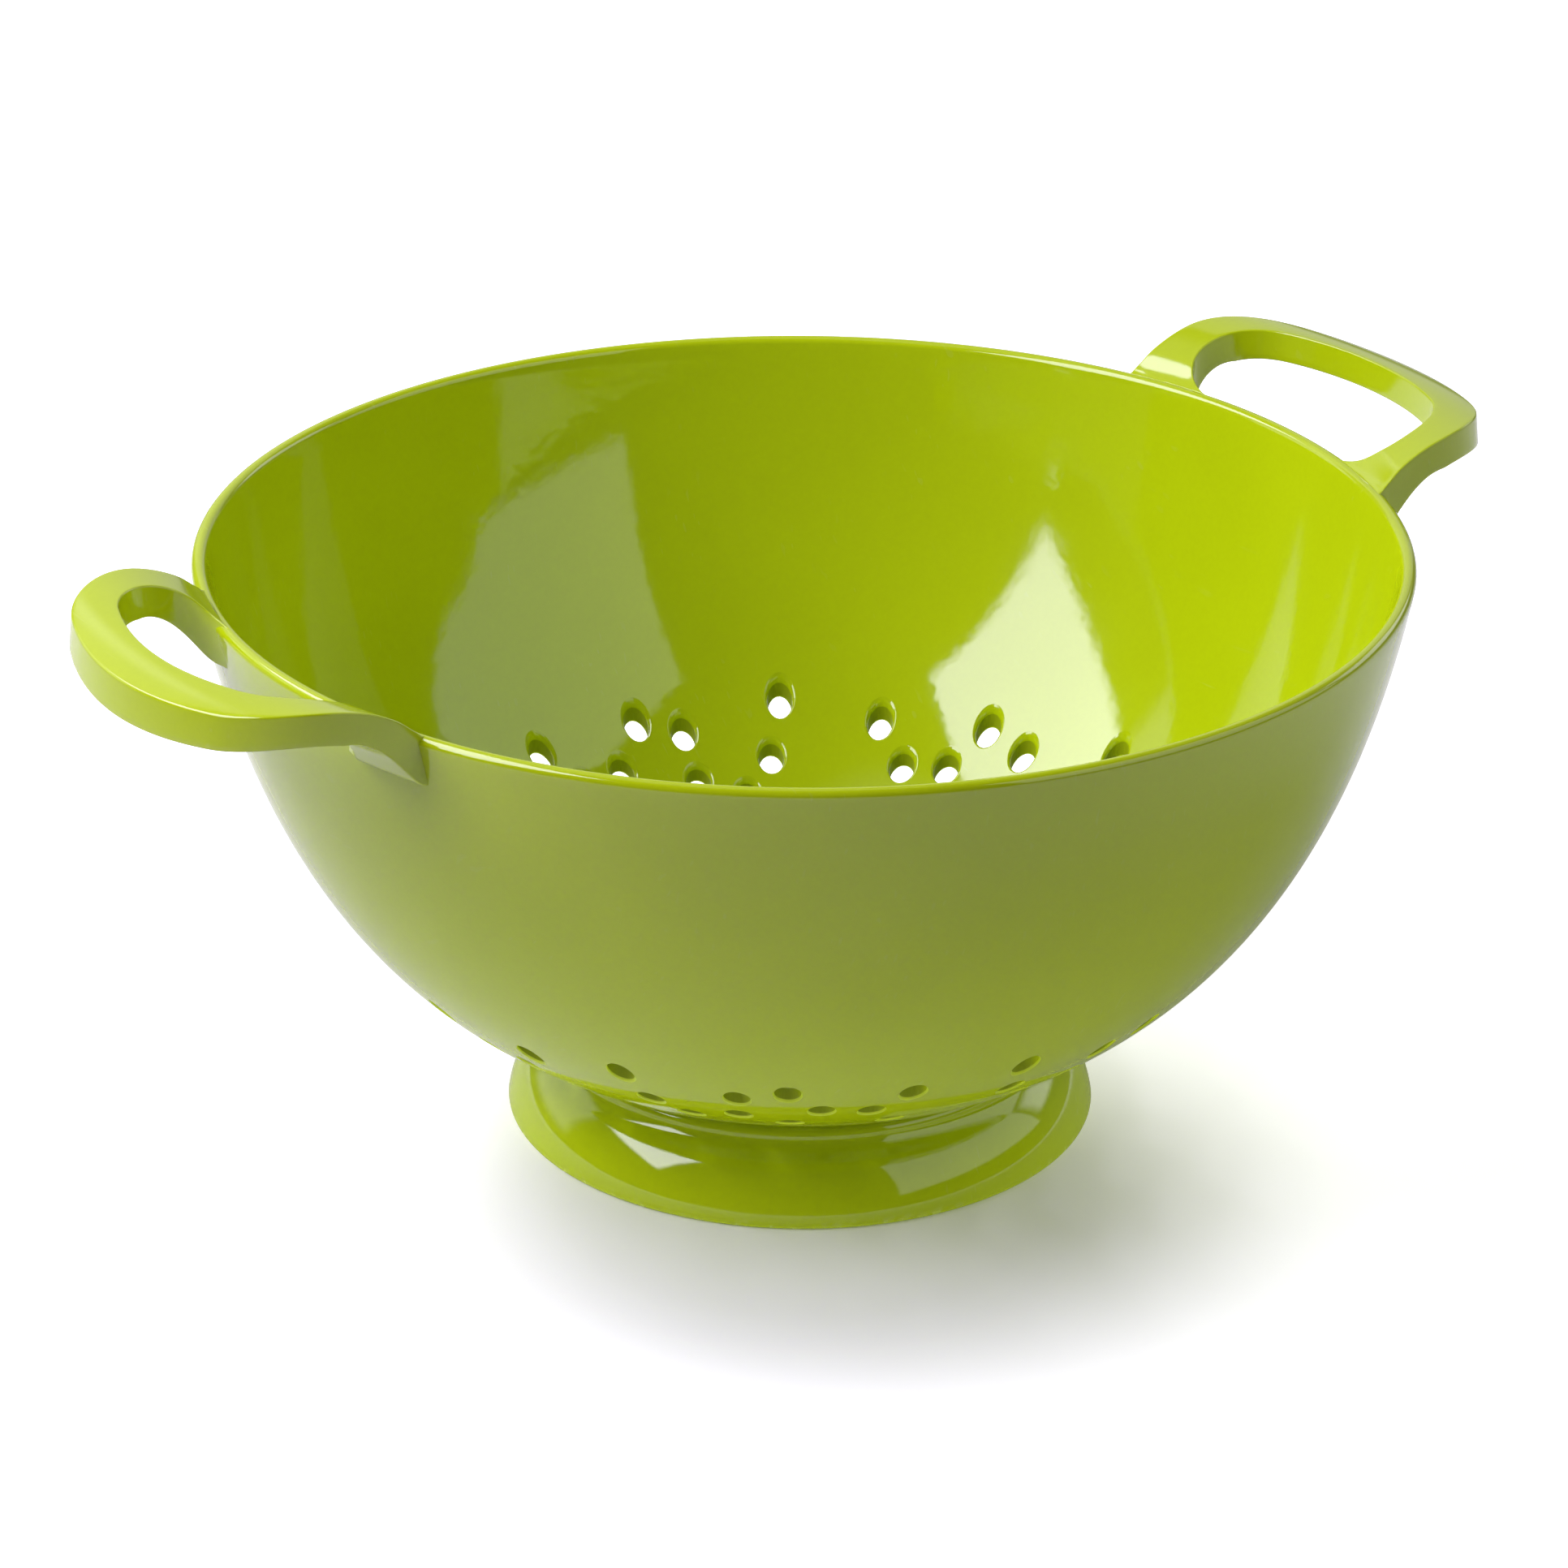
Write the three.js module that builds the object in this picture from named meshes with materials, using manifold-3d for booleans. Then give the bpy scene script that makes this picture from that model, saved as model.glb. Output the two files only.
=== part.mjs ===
// A footed colander in moulded melamine: a perforated bowl, two arched loop handles and a flared foot.
// Millimetres, +Z up. The origin is the centre of the foot on the table, and the handles lie along X.
import * as THREE from "three";
import { mergeVertices } from "three/addons/utils/BufferGeometryUtils.js";
import Module from "manifold-3d";

// Bowl
const RIM_DIAMETER = 240;
const RIM_HEIGHT = 121.5; // table to the top of the rim
const BOWL_WALL = 3;
const FLOOR_HEIGHT = 10.5; // table to the underside of the bowl, on its axis
const FLOOR_PULL = 81.7; // how far out the floor holds the profile level
const WALL_PULL = 58.4; // how far down the rim's lean holds the wall straight
const WALL_LEAN = 10.1; // degrees from upright, at the rim

// Drain holes, bored straight down. Each hole of a sector: distance from the axis, turn in degrees.
const HOLE_DIAMETER = 6;
const HOLE_SECTORS = 7;
const SECTOR_HOLES = [
  [88.5, 7.7],
  [86.9, 28.7],
  [85.7, 44.7],
  [84.4, 22.1],
  [79.7, 33.2],
  [79.4, 9.3],
  [78.8, 40.2],
  [76, 21.4],
  [72.7, 13.7],
  [70.5, 28.7],
  [70, 44.5],
  [58, 3.5],
  [56.5, 19],
  [57.5, 36.5],
  [36, 8],
  [27, 33],
  [16.5, 12],
];

// Handles
const HANDLE_PROJECTION = 32.8; // rim to the tip of the loop
const HANDLE_WIDTH = 83.6; // across the loop, where its corners end and its legs begin
const HANDLE_RISE = 9; // rim to the crest of the arch
const CREST_OUT = 20; // rim to the circle that the crest lies on
const END_RADIUS = 72; // outer edge across the tip
const CORNER_RADIUS = 24;
const STRAP_WIDTH = 9.5;
const STRAP_THICKNESS = 6.2;
const STRAP_EDGE = 1.6; // rounding of the strap's four edges
const GUSSET_LENGTH = 13; // rim to where the gusset leaves the strap's underside
const GUSSET_DEPTH = 9; // top of the rim to the gusset's underside at the rim
const ROOT_FLARE = 1; // how far a leg spreads along the rim on its outer side
const HOLE_FILLET = 14; // how far a leg spreads along the rim on its finger side

// Foot
const FOOT_DIAMETER = 119.2;
const FOOT_WALL = 3.6;
const FOOT_EDGE = 1.2; // rounding where the foot meets the table
const FOOT_ROLL = 17; // convex radius of the flare
const ROLL_TURN = 52; // degrees that the roll turns through before the cove
const NECK_DIAMETER = 103;
const LOCATING_WIDTH = 2.5;
const LOCATING_DEPTH = 4;

const GAP = 0.3; // clearance between neighbouring pieces

// Facets
const ROUND_STEPS = 56;
const PROFILE_STEPS = 15;
const LIP_STEPS = 6;
const HOLE_SIDES = 8;
const ARC_STEPS = 5;
const LEG_STEPS = 7;
const EDGE_STEPS = 2;
const FOOT_STEPS = 3;
const HALVINGS = 40; // in the search for a place on the bowl's curve

const wasm = await Module();
wasm.setup();

const rimRadius = RIM_DIAMETER / 2;
const footRadius = FOOT_DIAMETER / 2;
const neckRadius = NECK_DIAMETER / 2;
const holeRadius = HOLE_DIAMETER / 2;
const lean = THREE.MathUtils.degToRad(WALL_LEAN);

// A closed geometry as a solid that can be joined and cut.
function solidOf(geometry) {
  const bare = geometry.clone();
  bare.deleteAttribute("normal");
  bare.deleteAttribute("uv");
  const merged = mergeVertices(bare);
  const triangles = [];
  for (let i = 0; i < merged.index.count; i += 3) {
    const [a, b, c] = merged.index.array.slice(i, i + 3);
    if (a !== b && b !== c && c !== a) triangles.push(a, b, c);
  }
  const vertProperties = new Float32Array(merged.attributes.position.array);
  const triVerts = new Uint32Array(triangles);
  return new wasm.Manifold(new wasm.Mesh({ numProp: 3, vertProperties, triVerts }));
}

function geometryOf(solid) {
  const mesh = solid.getMesh();
  const geometry = new THREE.BufferGeometry();
  geometry.setAttribute("position", new THREE.BufferAttribute(mesh.vertProperties, 3));
  geometry.setIndex(new THREE.BufferAttribute(mesh.triVerts, 1));
  geometry.computeVertexNormals();
  return geometry;
}

// A profile of radius and height, turned about the Z axis.
function turned(profile) {
  return new THREE.LatheGeometry(profile, ROUND_STEPS).rotateX(Math.PI / 2);
}

// Bowl profile: the outer wall is one curve from the axis to the start of the rounded rim.
const lipRadius = BOWL_WALL / 2;
const lipCentre = new THREE.Vector2(rimRadius - lipRadius, RIM_HEIGHT - lipRadius);
const rimNormal = new THREE.Vector2(Math.cos(lean), -Math.sin(lean));
const rimTangent = new THREE.Vector2(Math.sin(lean), Math.cos(lean));
const rimStart = lipCentre.clone().addScaledVector(rimNormal, lipRadius);
const bowlCurve = new THREE.CubicBezierCurve(
  new THREE.Vector2(0, FLOOR_HEIGHT),
  new THREE.Vector2(FLOOR_PULL, FLOOR_HEIGHT),
  rimStart.clone().addScaledVector(rimTangent, -WALL_PULL),
  rimStart,
);

// The outer wall moved inwards (or, with a negative distance, outwards) along its normals.
function wallPoints(inset) {
  const points = [];
  for (let i = 0; i <= PROFILE_STEPS; i++) {
    const u = i / PROFILE_STEPS;
    const tangent = bowlCurve.getTangent(u);
    const inward = new THREE.Vector2(-tangent.y, tangent.x);
    points.push(bowlCurve.getPoint(u).addScaledVector(inward, inset));
  }
  points[0].x = 0;
  return points;
}

// Points round the rim, between two angles measured from the outward direction.
function lipPoints(radius, from, to) {
  const points = [];
  for (let i = 1; i < LIP_STEPS; i++) {
    const angle = from + ((to - from) * i) / LIP_STEPS;
    points.push(
      new THREE.Vector2(radius * Math.cos(angle), radius * Math.sin(angle)).add(lipCentre),
    );
  }
  return points;
}

// Height of the bowl's underside at a distance from the axis.
function undersideAt(radius) {
  let low = 0;
  let high = 1;
  for (let i = 0; i < HALVINGS; i++) {
    const middle = (low + high) / 2;
    if (bowlCurve.getPoint(middle).x < radius) low = middle;
    else high = middle;
  }
  return bowlCurve.getPoint(low).y;
}

// The ring under the bowl that the neck of the foot fits round.
function locatingRing() {
  const outer = neckRadius - FOOT_WALL - GAP;
  const inner = outer - LOCATING_WIDTH;
  const bottom = undersideAt(outer) - LOCATING_DEPTH;
  const buried = BOWL_WALL / 2;
  return turned([
    new THREE.Vector2(inner, bottom),
    new THREE.Vector2(outer, bottom),
    new THREE.Vector2(outer, undersideAt(outer) + buried),
    new THREE.Vector2(inner, undersideAt(inner) + buried),
    new THREE.Vector2(inner, bottom),
  ]);
}

function drainHole(radius, angle) {
  const slack = BOWL_WALL;
  const bottom = undersideAt(Math.max(0, radius - holeRadius)) - slack;
  const top = undersideAt(radius + holeRadius) + 2 * BOWL_WALL + slack;
  const bore = new THREE.CylinderGeometry(holeRadius, holeRadius, top - bottom, HOLE_SIDES);
  bore.rotateX(Math.PI / 2);
  bore.translate(radius, 0, (top + bottom) / 2);
  return bore.rotateZ(angle);
}

function bowl() {
  const shell = solidOf(
    turned([
      ...wallPoints(0),
      ...lipPoints(lipRadius, -lean, Math.PI - lean),
      ...wallPoints(BOWL_WALL).reverse(),
    ]),
  );
  let solid = shell.add(solidOf(locatingRing()));
  let holes = solidOf(drainHole(0, 0));
  for (let sector = 0; sector < HOLE_SECTORS; sector++) {
    for (const [radius, turn] of SECTOR_HOLES) {
      const angle = THREE.MathUtils.degToRad(turn + (sector * 360) / HOLE_SECTORS);
      holes = holes.add(solidOf(drainHole(radius, angle)));
    }
  }
  solid = solid.subtract(holes);
  return geometryOf(solid);
}

// The space that the bowl takes up, with clearance, from its underside to above the handles.
function bowlKeepOut() {
  const top = RIM_HEIGHT + HANDLE_RISE + STRAP_THICKNESS;
  return solidOf(
    turned([
      ...wallPoints(-GAP),
      ...lipPoints(lipRadius + GAP, -lean, Math.PI / 2),
      new THREE.Vector2(lipCentre.x, RIM_HEIGHT + GAP),
      new THREE.Vector2(lipCentre.x, top),
      new THREE.Vector2(0, top),
    ]),
  );
}

// Handle arch: a circular arc that springs from the middle of the rim and passes over the crest.
const crestRadius = rimRadius + CREST_OUT;
const archSpan = crestRadius - lipCentre.x;
const archRadius = (archSpan ** 2 + HANDLE_RISE ** 2) / (2 * HANDLE_RISE);
const archCentre = RIM_HEIGHT + HANDLE_RISE - archRadius;

function archHeight(distance, radius) {
  const across = distance - crestRadius;
  return archCentre + Math.sqrt(Math.max(0, radius ** 2 - across ** 2));
}

// The underside runs parallel to the top, then ramps down as a gusset towards the bowl.
function undersideOfStrap(distance) {
  const gussetStart = rimRadius + GUSSET_LENGTH;
  const parallel = archHeight(Math.max(distance, gussetStart), archRadius - STRAP_THICKNESS);
  const into = Math.max(0, gussetStart - distance) / GUSSET_LENGTH;
  return THREE.MathUtils.lerp(parallel, RIM_HEIGHT - GUSSET_DEPTH, into);
}

// One edge of a leg, from inside the rim out to the corner of the loop. It spreads along the rim circle:
// outwards for a positive length, towards the finger gap for a negative one.
function legEdge(y, spread, cornerX) {
  const root = new THREE.Vector2(Math.sqrt(rimRadius ** 2 - y ** 2), y);
  const turn = root.angle() + spread / rimRadius;
  const onRim = new THREE.Vector2(Math.cos(turn), Math.sin(turn));
  const buried = onRim.clone().multiplyScalar(rimRadius - 2 * BOWL_WALL);
  const blend = new THREE.QuadraticBezierCurve(
    onRim.multiplyScalar(lipCentre.x),
    root,
    new THREE.Vector2(cornerX, y),
  );
  return [buried, ...blend.getPoints(LEG_STEPS).slice(0, -1)];
}

// Plan of the strap: a U of constant width, open towards the bowl.
function strapPlan() {
  const half = HANDLE_WIDTH / 2;
  const endX = rimRadius + HANDLE_PROJECTION - END_RADIUS;
  const cornerY = half - CORNER_RADIUS;
  const cornerX = endX + Math.sqrt((END_RADIUS - CORNER_RADIUS) ** 2 - cornerY ** 2);
  const turn = Math.atan2(cornerY, cornerX - endX);
  const quarter = Math.PI / 2;
  const outerLeg = legEdge(half, ROOT_FLARE, cornerX);
  const innerLeg = legEdge(half - STRAP_WIDTH, -HOLE_FILLET, cornerX);
  const mirrored = (points) => points.map((p) => new THREE.Vector2(p.x, -p.y));

  const plan = new THREE.Shape();
  plan.setFromPoints(mirrored(outerLeg));
  plan.absarc(cornerX, -cornerY, CORNER_RADIUS, -quarter, -turn);
  plan.absarc(endX, 0, END_RADIUS, -turn, turn);
  plan.absarc(cornerX, cornerY, CORNER_RADIUS, turn, quarter);
  for (const p of [...outerLeg].reverse()) plan.lineTo(p.x, p.y);
  for (const p of innerLeg) plan.lineTo(p.x, p.y);
  plan.absarc(cornerX, cornerY, CORNER_RADIUS - STRAP_WIDTH, quarter, turn, true);
  plan.absarc(endX, 0, END_RADIUS - STRAP_WIDTH, turn, -turn, true);
  plan.absarc(cornerX, -cornerY, CORNER_RADIUS - STRAP_WIDTH, -turn, -quarter, true);
  for (const p of mirrored(innerLeg).reverse()) plan.lineTo(p.x, p.y);
  return plan;
}

// A handle on the +X side: the flat strap is bent over the arch, then cut back from the bowl.
function handle() {
  const strap = new THREE.ExtrudeGeometry(strapPlan(), {
    depth: STRAP_THICKNESS - 2 * STRAP_EDGE,
    bevelThickness: STRAP_EDGE,
    bevelSize: STRAP_EDGE,
    bevelOffset: -STRAP_EDGE,
    bevelSegments: EDGE_STEPS,
    curveSegments: ARC_STEPS,
  });
  strap.translate(0, 0, STRAP_EDGE);
  const position = strap.getAttribute("position");
  for (let i = 0; i < position.count; i++) {
    const distance = Math.hypot(position.getX(i), position.getY(i));
    const share = position.getZ(i) / STRAP_THICKNESS;
    const top = archHeight(distance, archRadius);
    const bottom = undersideOfStrap(distance);
    position.setZ(i, bottom + share * (top - bottom));
  }
  return geometryOf(solidOf(strap).subtract(bowlKeepOut()));
}

// Foot: an ogee skirt. The inner side runs parallel to the outer one at the wall's thickness.
function footSide(inset) {
  const rollX = footRadius - FOOT_ROLL;
  const roll = FOOT_ROLL - inset;
  const end = THREE.MathUtils.degToRad(ROLL_TURN);
  const neck = neckRadius - inset;
  const rollEnd = new THREE.Vector2(rollX + roll * Math.cos(end), FOOT_EDGE + roll * Math.sin(end));
  const bendHeight = rollEnd.y + (rollEnd.x - neck) / Math.tan(end);
  const side = new THREE.Path();
  side.absarc(rollX, FOOT_EDGE, roll, 0, end);
  side.quadraticCurveTo(neck, bendHeight, neck, undersideAt(neck) - GAP);
  return side.getPoints(FOOT_STEPS);
}

function footRing() {
  const edge = new THREE.Path();
  edge.absarc(footRadius - FOOT_EDGE, FOOT_EDGE, FOOT_EDGE, -Math.PI / 2, 0);
  const landInside = new THREE.Vector2(footRadius - FOOT_WALL, 0);
  const outline = [
    landInside,
    ...edge.getPoints(EDGE_STEPS),
    ...footSide(0).slice(1),
    ...footSide(FOOT_WALL).reverse(),
    landInside.clone(),
  ];
  return geometryOf(solidOf(turned(outline)));
}

function lime(name) {
  return new THREE.MeshStandardMaterial({ name, color: 0xb0cc00, roughness: 0.12, metalness: 0 });
}

function piece(name, geometry) {
  const mesh = new THREE.Mesh(geometry, lime(name));
  mesh.name = name;
  return mesh;
}

const colander = new THREE.Group();
colander.name = "colander";
colander.add(piece("bowl", bowl()));
colander.add(piece("foot_ring", footRing()));
colander.add(piece("handle_right", handle()));
const leftHandle = piece("handle_left", handle());
leftHandle.rotation.z = Math.PI;
colander.add(leftHandle);

export default colander;
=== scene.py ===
import math

import bpy
import numpy as np
from mathutils import Matrix, Vector


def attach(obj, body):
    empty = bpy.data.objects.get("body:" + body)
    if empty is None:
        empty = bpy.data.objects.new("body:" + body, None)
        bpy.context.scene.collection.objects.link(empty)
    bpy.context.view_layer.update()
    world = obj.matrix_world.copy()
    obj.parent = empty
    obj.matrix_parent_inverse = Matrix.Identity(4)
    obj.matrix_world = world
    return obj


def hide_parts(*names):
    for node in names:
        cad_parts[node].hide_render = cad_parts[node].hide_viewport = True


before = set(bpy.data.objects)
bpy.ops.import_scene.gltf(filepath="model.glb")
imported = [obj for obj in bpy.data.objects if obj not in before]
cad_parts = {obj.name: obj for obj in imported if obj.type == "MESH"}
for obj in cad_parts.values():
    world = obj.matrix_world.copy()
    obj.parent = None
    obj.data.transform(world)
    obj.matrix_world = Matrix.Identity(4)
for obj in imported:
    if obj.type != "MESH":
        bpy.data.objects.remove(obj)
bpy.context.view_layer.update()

# Bowl: one thick moulding of lime melamine, drawn straight up out of its mould, with a plain rounded rim.
# Its wall is a single sweep from floor to rim. The drain holes are bored upright, so they meet the slope
# of the wall at an angle, and their edges are softened on both sides.
RIM_RADIUS = 0.120
RIM_HEIGHT = 0.1215
BOWL_WALL = 0.003
FLOOR_HEIGHT = 0.0105
FLOOR_PULL = 0.0817
WALL_PULL = 0.0584
WALL_LEAN = math.radians(10.1)
LIP_RADIUS = BOWL_WALL / 2
LIP_CENTRE = np.array([RIM_RADIUS - LIP_RADIUS, RIM_HEIGHT - LIP_RADIUS])
WALL_STEPS = 64
LIP_STEPS = 18
ROUND_STEPS = 252
MERGE_DISTANCE = 1e-6

rim_start = LIP_CENTRE + LIP_RADIUS * np.array([math.cos(WALL_LEAN), -math.sin(WALL_LEAN)])
wall_top_direction = np.array([math.sin(WALL_LEAN), math.cos(WALL_LEAN)])
WALL_CONTROLS = np.array([
    [0, FLOOR_HEIGHT],
    [FLOOR_PULL, FLOOR_HEIGHT],
    rim_start - WALL_PULL * wall_top_direction,
    rim_start,
])


def swept_curve(a, b, c, d, steps, inset):
    """Points along a cubic curve from a to d, moved by an inset to the left of its run."""
    u = np.linspace(0, 1, steps + 1)[:, None]
    point = (1 - u) ** 3 * a + 3 * u * (1 - u) ** 2 * b + 3 * u ** 2 * (1 - u) * c + u ** 3 * d
    slope = (1 - u) ** 2 * (b - a) + 2 * u * (1 - u) * (c - b) + u ** 2 * (d - c)
    slope /= np.linalg.norm(slope, axis=1)[:, None]
    return point + inset * np.stack([-slope[:, 1], slope[:, 0]], axis=1)


def wall_curve(inset):
    """Radius and height along the bowl's outer wall, moved inwards along its normals."""
    wall = swept_curve(*WALL_CONTROLS, WALL_STEPS, inset)
    wall[0, 0] = 0
    return wall


def lip_arc():
    """Radius and height over the rounded rim, from the outer wall to the inner one."""
    angles = np.linspace(-WALL_LEAN, math.pi - WALL_LEAN, LIP_STEPS + 1)[1:-1]
    return LIP_CENTRE + LIP_RADIUS * np.stack([np.cos(angles), np.sin(angles)], axis=1)


def edit_all(piece):
    """Opens one piece in edit mode with everything on it selected."""
    bpy.ops.object.select_all(action="DESELECT")
    piece.select_set(True)
    bpy.context.view_layer.objects.active = piece
    bpy.ops.object.mode_set(mode="EDIT")
    bpy.ops.mesh.select_all(action="SELECT")


def turned(name, profile):
    """A profile of radius and height drawn point by point and spun about the bowl's axis."""
    bpy.ops.object.select_all(action="DESELECT")
    bpy.ops.mesh.primitive_plane_add(size=BOWL_WALL)
    piece = bpy.context.object
    piece.name = piece.data.name = name
    edit_all(piece)
    bpy.ops.mesh.merge(type="CENTER")
    bpy.ops.transform.translate(value=(profile[0][0], 0, profile[0][1]))
    for start, end in zip(profile[:-1], profile[1:]):
        step = (end[0] - start[0], 0, end[1] - start[1])
        bpy.ops.mesh.extrude_region_move(TRANSFORM_OT_translate={"value": step})
    bpy.ops.mesh.select_all(action="SELECT")
    bpy.ops.mesh.spin(steps=ROUND_STEPS, angle=2 * math.pi, center=(0, 0, 0), axis=(0, 0, 1))
    bpy.ops.mesh.select_all(action="SELECT")
    bpy.ops.mesh.remove_doubles(threshold=MERGE_DISTANCE)
    bpy.ops.mesh.normals_make_consistent(inside=False)
    bpy.ops.object.mode_set(mode="OBJECT")
    bpy.ops.object.shade_smooth()
    return piece


outer_wall = wall_curve(0)
inner_wall = wall_curve(BOWL_WALL)
bowl = turned("bowl_shell", np.concatenate([outer_wall, lip_arc(), inner_wall[::-1]]))

# Each drain hole is cut by a plug: a tapered column with a flared mouth that follows the wall on each side.
OUTER_BORE = 0.0026
INNER_BORE = 0.0027
OUTER_ROUNDING = 0.0004
INNER_ROUNDING = 0.0009
MOUTH_TURN = math.radians(70)
MOUTH_STEPS = 4
PLUG_SIDES = 32
PLUG_OVERHANG = 0.0004
NEAR_AXIS = 1e-6
HOLE_SECTORS = 7
SECTOR_HOLES = [
    (0.0885, 7.7), (0.0869, 28.7), (0.0857, 44.7), (0.0844, 22.1), (0.0797, 33.2), (0.0794, 9.3),
    (0.0788, 40.2), (0.0760, 21.4), (0.0727, 13.7), (0.0705, 28.7), (0.0700, 44.5),
    (0.0580, 3.5), (0.0565, 19.0), (0.0575, 36.5), (0.0360, 8.0), (0.0270, 33.0), (0.0165, 12.0),
]

# Rings of the plug from below the wall to above it: radius, which wall it follows, height off that wall.
turns = np.linspace(0, MOUTH_TURN, MOUTH_STEPS + 1)


def mouth(bore, rounding):
    """Radius and depth of the rings of one rounded mouth, from the bore out to a little above the wall."""
    radii = bore + rounding * (1 - np.cos(turns))
    depths = rounding * (1 - np.sin(turns))
    overhang = radii[-1] + (PLUG_OVERHANG + depths[-1]) * math.tan(MOUTH_TURN)
    return list(zip(radii, depths)) + [(overhang, -PLUG_OVERHANG)]


plug_rings = [(r, outer_wall, d) for r, d in mouth(OUTER_BORE, OUTER_ROUNDING)[::-1]]
plug_rings += [(r, inner_wall, -d) for r, d in mouth(INNER_BORE, INNER_ROUNDING)]


def drain_plug():
    """One plug as a stack of rings, still upright and at the axis; ring numbers stand in for heights."""
    bpy.ops.object.select_all(action="DESELECT")
    bpy.ops.mesh.primitive_circle_add(vertices=PLUG_SIDES, radius=1, fill_type="NGON")
    piece = bpy.context.object
    edit_all(piece)
    for _ in plug_rings[1:]:
        bpy.ops.mesh.extrude_region_move(TRANSFORM_OT_translate={"value": (0, 0, 1)})
    bpy.ops.mesh.select_all(action="SELECT")
    bpy.ops.mesh.normals_make_consistent(inside=False)
    bpy.ops.object.mode_set(mode="OBJECT")
    return piece


def fit_plug(piece, radius, turn):
    """Moves every ring of a plug to its own height over the wall below it."""
    centre = radius * np.array([math.cos(turn), math.sin(turn)])
    step = outer_wall[:, 0].searchsorted(radius)
    rise = outer_wall[step] - outer_wall[step - 1]
    steepness = math.hypot(*rise) / rise[0]
    for vertex in piece.data.vertices:
        ring_radius, wall, off = plug_rings[round(vertex.co.z)]
        x, y = centre + ring_radius * np.array(vertex.co[:2])
        height = np.interp(math.hypot(x, y), wall[:, 0], wall[:, 1])
        vertex.co = (x, y, height + off * steepness)


plug = drain_plug()
holes = [(0.0, 0.0)]
for sector in range(HOLE_SECTORS):
    holes += [(r, math.radians(turn + 360 * sector / HOLE_SECTORS)) for r, turn in SECTOR_HOLES]
plugs = []
for radius, turn in holes:
    copy = plug.copy()
    copy.data = plug.data.copy()
    bpy.context.collection.objects.link(copy)
    fit_plug(copy, max(radius, NEAR_AXIS), turn)
    plugs.append(copy)
bpy.data.objects.remove(plug)
bpy.ops.object.select_all(action="DESELECT")
for copy in plugs:
    copy.select_set(True)
bpy.context.view_layer.objects.active = plugs[0]
bpy.ops.object.join()
plugs = bpy.context.object

uncut = bowl.copy()
uncut.data = bowl.data.copy()
bpy.context.collection.objects.link(uncut)
bpy.ops.object.select_all(action="DESELECT")
bowl.select_set(True)
bpy.context.view_layer.objects.active = bowl
cut = bowl.modifiers.new("drain_holes", "BOOLEAN")
cut.operation = "DIFFERENCE"
cut.solver = "EXACT"
cut.object = plugs
bpy.ops.object.modifier_apply(modifier=cut.name)
bpy.data.objects.remove(plugs)


def off_wall(places):
    """Height of points off the outer and off the inner face of the bowl's wall; above the holes it counts as
    none."""
    reach = np.hypot(places[:, 0], places[:, 1])
    off_outer = np.abs(np.interp(reach, outer_wall[:, 0], outer_wall[:, 1]) - places[:, 2])
    off_inner = np.abs(np.interp(reach, inner_wall[:, 0], inner_wall[:, 1]) - places[:, 2])
    return np.where(places[:, 2] > RIM_HEIGHT / 2, 0, [off_outer, off_inner])


# The wall keeps the smooth shading that it had before the holes were cut.
on_wall = bowl.vertex_groups.new(name="on_wall")
SURFACE_SLACK = 0.00003
near = off_wall(np.array([vertex.co for vertex in bowl.data.vertices])).min(axis=0) < SURFACE_SLACK
on_wall.add([int(i) for i in np.flatnonzero(near)], 1.0, "REPLACE")
shade = bowl.modifiers.new("wall_shading", "DATA_TRANSFER")
shade.object = uncut
shade.use_loop_data = True
shade.data_types_loops = {"CUSTOM_NORMAL"}
shade.loop_mapping = "POLYINTERP_NEAREST"
shade.vertex_group = on_wall.name
bpy.ops.object.modifier_apply(modifier=shade.name)
bpy.data.objects.remove(uncut)

# Pressed resin is never quite even: its colour clouds a little where the powder flowed, its gloss has the faint
# ripple of the polished mould, and washing leaves hair-fine scratches.
CLOUD_SIZE = 0.045
FLECK_SIZE = 0.0011
RIPPLE_SIZE = 0.0032
SCRATCH_PATCH = 0.018
SCRATCH_WIDTH = 0.00075
SCRATCH_TURN = (0.3, 0.5, 0.7)
SCRATCH_STRETCH = (1.0, 0.05, 0.3)
HAZE_SIZE = 0.015
CLOUD_TONES = (0.975, 1.02)
FLECK_TONES = (0.99, 1.01)
TONE_SPREAD = (0.3, 0.7)
HAIR_SPREAD = (0.74, 0.78)
PATCH_SPREAD = (0.45, 0.7)
HAZE_SPREAD = (0.35, 0.75)


def node(tree, kind, **values):
    made = tree.nodes.new("ShaderNode" + kind)
    for name, value in values.items():
        setattr(made, name, value)
    return made


def noise(tree, place, size, detail=2.0):
    made = node(tree, "TexNoise")
    made.inputs["Scale"].default_value = 1 / size
    made.inputs["Detail"].default_value = detail
    tree.links.new(place, made.inputs["Vector"])
    return made.outputs["Fac"]


def remap(tree, value, low, high, out_low, out_high):
    made = node(tree, "MapRange", interpolation_type="SMOOTHSTEP")
    tree.links.new(value, made.inputs["Value"])
    limits = {"From Min": low, "From Max": high, "To Min": out_low, "To Max": out_high}
    for name, limit in limits.items():
        made.inputs[name].default_value = limit
    return made.outputs["Result"]


def combine(tree, operation, first, second):
    made = node(tree, "Math", operation=operation)
    for socket, value in zip(made.inputs, (first, second)):
        if isinstance(value, (int, float)):
            socket.default_value = value
        else:
            tree.links.new(value, socket)
    return made.outputs[0]


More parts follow.
